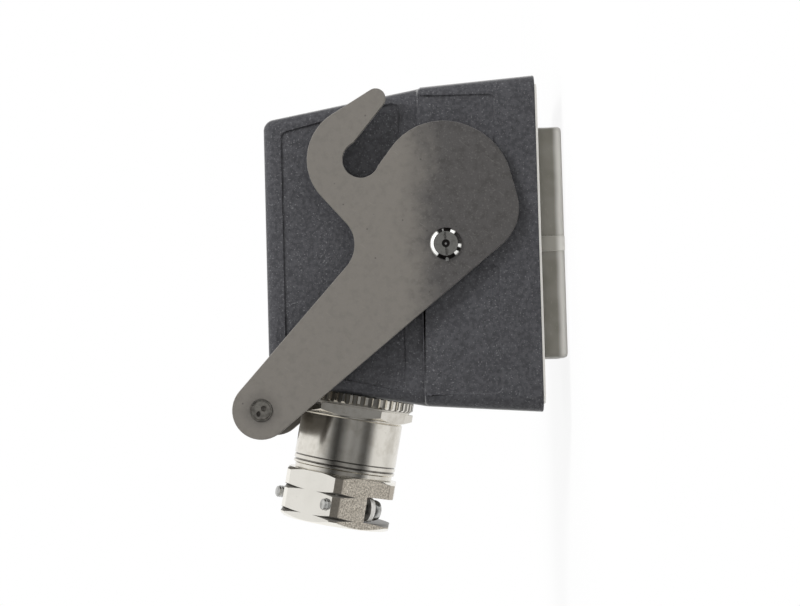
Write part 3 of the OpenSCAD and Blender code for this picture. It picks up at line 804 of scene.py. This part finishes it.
def roundedCopy(node, width, segments, angle):
    source = frame["nodes"][node]
    piece = source.copy()
    piece.data = source.data.copy()
    bpy.context.scene.collection.objects.link(piece)
    piece.parent = None
    piece.name = "shown_" + node
    for key in list(piece.keys()):
        del piece[key]
    piece.data.materials.clear()
    pickOnly(piece)
    bpy.ops.mesh.customdata_custom_splitnormals_clear()
    bpy.ops.object.mode_set(mode="EDIT")
    bpy.ops.mesh.select_all(action="SELECT")
    bpy.ops.mesh.remove_doubles(threshold=0.002 * mm)
    bpy.ops.mesh.dissolve_limited(angle_limit=math.radians(0.4))
    bpy.ops.object.mode_set(mode="OBJECT")
    if node in shaping:
        shaping[node](piece)
    useModifier(piece, "BEVEL", width=width, segments=segments, limit_method="ANGLE",
                angle_limit=math.radians(angle), material=1, miter_outer="MITER_ARC",
                use_clamp_overlap=node in clampedPieces)
    pickOnly(piece)
    bpy.ops.object.shade_smooth_by_angle(angle=math.radians(angle))
    useModifier(piece, "WEIGHTED_NORMAL", keep_sharp=True, weight=100)
    return piece


shown = {}
for node, (body, slot, finish, edgeFinish, width, segments, angle) in roundedPieces.items():
    shown[node] = roundedCopy(node, width, segments, angle)
    joinPiece(shown[node], body, [finish, edgeFinish], [node])
print("rounded copies made:", len(shown))

plainNodes = {
    "lever_grip": "lever", "contact_pins": "silver", "terminal_screws": "zinc",
    "earth_terminals": "brass", "earth_screws": "zinc", "insert_screws": "zinc",
    "port_seal": "rubber", "knurled_ring": "knurl", "cable_seal": "rubber",
    "pressure_ring": "brass", "clamp_saddle": "nickel",
}
for node, finish in plainNodes.items():
    materials = frame["nodes"][node].data.materials
    materials.clear()
    materials.append(finishes[finish])


# threads on the free ends of the clamp screws

screwThread = {
    "radius": 1.42 * mm,
    "ridge": 0.3 * mm,
    "pitch": 0.62 * mm,
    "turns": 4,
    "spacing": 25.2 * mm,  # between the two screws
}


def makeThread(tip):
    # a triangle at the screw's radius, wound up into a helix that ends at the tip
    look = screwThread
    pickNone()
    bpy.ops.mesh.primitive_circle_add(vertices=3, radius=look["ridge"], fill_type="NOTHING",
                                      location=(look["radius"], 0, 0),
                                      rotation=(math.pi / 2, math.pi / 2, 0))
    piece = bpy.context.object
    piece.name = "screwThreadNear"
    bpy.ops.object.transform_apply(location=True, rotation=True, scale=True)
    useModifier(piece, "SCREW", axis="Z", angle=2 * math.pi, screw_offset=look["pitch"],
                iterations=look["turns"], steps=24, render_steps=24, use_merge_vertices=True,
                merge_threshold=0.001 * mm, use_smooth_shade=False)
    bpy.ops.object.mode_set(mode="EDIT")
    bpy.ops.mesh.select_all(action="DESELECT")
    bpy.ops.mesh.select_mode(type="EDGE")
    bpy.ops.mesh.select_non_manifold(extend=False)
    bpy.ops.mesh.edge_face_add()
    bpy.ops.mesh.select_all(action="SELECT")
    bpy.ops.mesh.normals_make_consistent(inside=False)
    bpy.ops.object.mode_set(mode="OBJECT")
    piece.location = tip
    piece.rotation_euler = (-screwAxis).to_track_quat("Z", "Y").to_euler()
    pickOnly(piece)
    bpy.ops.object.transform_apply(location=True, rotation=True, scale=True)
    return piece


screwHeight = sum(spot.dot(glandAxis) for spot in screwSpots) / len(screwSpots)
outward = nearScrew["back"] + nearScrew["shorter"]
nearThread = makeThread(glandSpot + glandAxis * screwHeight - acrossAxis * screwThread["spacing"] / 2
                        + screwAxis * (tipReach - screwThread["ridge"] - outward))
farThread = copyPiece(nearThread, "screwThreadFar",
                      acrossAxis * screwThread["spacing"] + screwAxis * outward)
for piece in (nearThread, farThread):
    joinPiece(piece, "nut", ["zinc"])
print("screw threads made")


# a small lug at each pin's head keeps it from turning

leverFace = 23.95 * mm  # just outside the lever's plates
pinLug = {
    "wide": 0.95 * mm,
    "past": 0.55 * mm,  # beyond the head's edge
    "under": 0.6 * mm,
    "deep": 0.5 * mm,
    "lower": 0.3 * mm,  # than the pin's axis
    "round": 0.15 * mm,
}


def makeLug():
    look = pinLug
    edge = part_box("pivot_pins")[0].x
    pickNone()
    bpy.ops.mesh.primitive_cube_add(
        size=1, location=(edge + look["under"] / 2 - look["past"] / 2,
                          -leverFace - look["deep"] / 2, leverPivot.z - look["lower"]),
        scale=(look["past"] + look["under"], look["deep"], look["wide"]))
    piece = bpy.context.object
    piece.name = "pinLugFront"
    bpy.ops.object.transform_apply(location=True, rotation=True, scale=True)
    bpy.ops.object.mode_set(mode="EDIT")
    bpy.ops.mesh.select_all(action="SELECT")
    bpy.ops.mesh.bevel(offset=look["round"], segments=2, affect="EDGES")
    bpy.ops.object.mode_set(mode="OBJECT")
    return piece


frontLug = makeLug()
backLug = copyPiece(frontLug, "pinLugBack", (0, 2 * leverFace + pinLug["deep"], 0))
for piece in (frontLug, backLug):
    joinPiece(piece, "housing", ["zinc"])
print("pin lugs made")


# a rib down the middle of each long side of the shroud

shroudRib = {
    "wide": 4.1 * mm,
    "thick": 1.3 * mm,
    "middle": 13.55 * mm,  # along Y
    "top": 9.0 * mm,
    "round": 0.22 * mm,
}


def makeRib():
    look = shroudRib
    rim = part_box("insert_body")[0].z
    pickNone()
    bpy.ops.mesh.primitive_cube_add(size=1, location=(0, -look["middle"], (rim + look["top"]) / 2),
                                    scale=(look["wide"], look["thick"], look["top"] - rim))
    piece = bpy.context.object
    piece.name = "shroudRibFront"
    bpy.ops.object.transform_apply(location=True, rotation=True, scale=True)
    bpy.ops.object.mode_set(mode="EDIT")
    bpy.ops.mesh.select_all(action="SELECT")
    bpy.ops.mesh.bevel(offset=look["round"], segments=3, affect="EDGES")
    bpy.ops.object.mode_set(mode="OBJECT")
    bpy.ops.object.shade_smooth_by_angle(angle=math.radians(40))
    return piece


frontRib = makeRib()
backRib = copyPiece(frontRib, "shroudRibBack", (0, 2 * shroudRib["middle"], 0))
for piece in (frontRib, backRib):
    joinPiece(piece, "housing", ["rib"])
print("shroud ribs made")


# floor and light: white for the camera and in reflections, plain grey light on the object

studio = {
    "floorSize": 3.0,
    "ambient": 0.5,
    "endDark": 0.22,  # how much is left of a reflection toward the ends, +X and -X
    # what metal mirrors, by the angle from the camera's side toward the floor's side
    "mirrored": [(-180, 0.92), (-137, 0.95), (-110, 0.88), (-74, 0.90), (-60, 0.72), (-46, 0.44),
                 (-34, 0.12), (-22, 0.02), (-10, 0.15), (3, 0.29), (15, 0.21), (24, 0.26),
                 (33, 0.13), (44, 0.07), (54, 0.28), (65, 0.78), (88, 0.84), (116, 0.74),
                 (143, 0.88), (180, 0.92)],
    "floorWhite": (0.9, 0.1),  # near the object, and what is added further out
    "whiteBeyond": (0.06, 0.22),
    "lamps": {
        # name: spot, size, power
        "mainLamp": ((0.45, -0.45, 0.6), 0.3, 7.0),
        "fillLamp": ((-0.05, -0.85, 0.28), 0.5, 1.0),
    },
}


def makeFloor():
    pickNone()
    bpy.ops.mesh.primitive_plane_add(size=studio["floorSize"], location=(0, 0, cadBox[0][2] - 0.0002))
    floor = bpy.context.object
    floor.name = "floor"
    material = bpy.data.materials.new("paleFloor")
    material.use_nodes = True
    bench = Bench(material.node_tree)
    seen = bench.node("LightPath", {}, {}, "Is Camera Ray")
    mirrored = bench.node("LightPath", {}, {}, "Is Glossy Ray")
    through = bench.node("LightPath", {}, {}, "Is Transmission Ray")
    away = bench.far(bench.node("TexCoord", {}, {}, "Object"), (0, 0, 0))
    plain = bench.node("BsdfDiffuse", {}, {"Color": (0.9, 0.9, 0.9, 1)})
    white = bench.node("Emission", {}, {"Color": (1, 1, 1, 1), "Strength": 1.0})
    clear = bench.node("BsdfTransparent", {}, {})
    near, more = studio["floorWhite"]
    share = (seen + through) * (near + more * away.between(*studio["whiteBeyond"]))
    shaded = bench.node("MixShader", {}, {0: share, 1: plain, 2: white})
    # a mirrored ray goes on to the studio's walls below
    bench.node("OutputMaterial", {}, {"Surface": bench.node("MixShader", {}, {
        0: mirrored, 1: shaded, 2: clear})})
    floor.data.materials.append(material)


def makeWorld():
    world = bpy.data.worlds.new("studio")
    bpy.context.scene.world = world
    world.use_nodes = True
    bench = Bench(world.node_tree)
    direction = bench.node("TexCoord", {}, {}, "Generated")
    alongX, alongY, alongZ = (bench.part(direction, letter) for letter in "XYZ")
    angle = (0 - alongZ).maths("ARCTAN2", 0 - alongZ, 0 - alongY)
    stops = [((degrees + 180) / 360, level) for degrees, level in studio["mirrored"]]
    walls = bench.ramp(0.5 + angle / (2 * math.pi), stops)
    ends = alongX.between(0.80, 0.93) + 0.3 * (0 - alongX).between(0.80, 0.93)
    level = walls * (1 - (1 - studio["endDark"]) * ends)
    seen = bench.node("LightPath", {}, {}, "Is Camera Ray")
    mirrored = bench.node("LightPath", {}, {}, "Is Glossy Ray")
    through = bench.node("LightPath", {}, {}, "Is Transmission Ray")
    white = (seen + through).between(0.0, 1.0)
    soft = 1 - (white + mirrored).between(0.0, 1.0)
    strength = white + mirrored * level + soft * studio["ambient"]
    background = bench.node("Background", {}, {"Color": (1, 1, 1, 1), "Strength": strength})
    bench.node("OutputWorld", {}, {"Surface": background})


def makeLamp(name, spot, size, power):
    lamp = bpy.data.lights.new(name, "AREA")
    lamp.size, lamp.energy = size, power
    lampObject = bpy.data.objects.new(name, lamp)
    bpy.context.scene.collection.objects.link(lampObject)
    lampObject.location = spot
    middle = (Vector(cadBox[0]) + Vector(cadBox[1])) / 2
    lampObject.rotation_euler = (middle - Vector(spot)).to_track_quat("-Z", "Y").to_euler()
    lampObject.visible_glossy = False  # the studio's walls alone are mirrored


makeFloor()
makeWorld()
for name, (spot, size, power) in studio["lamps"].items():
    makeLamp(name, spot, size, power)
print("studio ready")
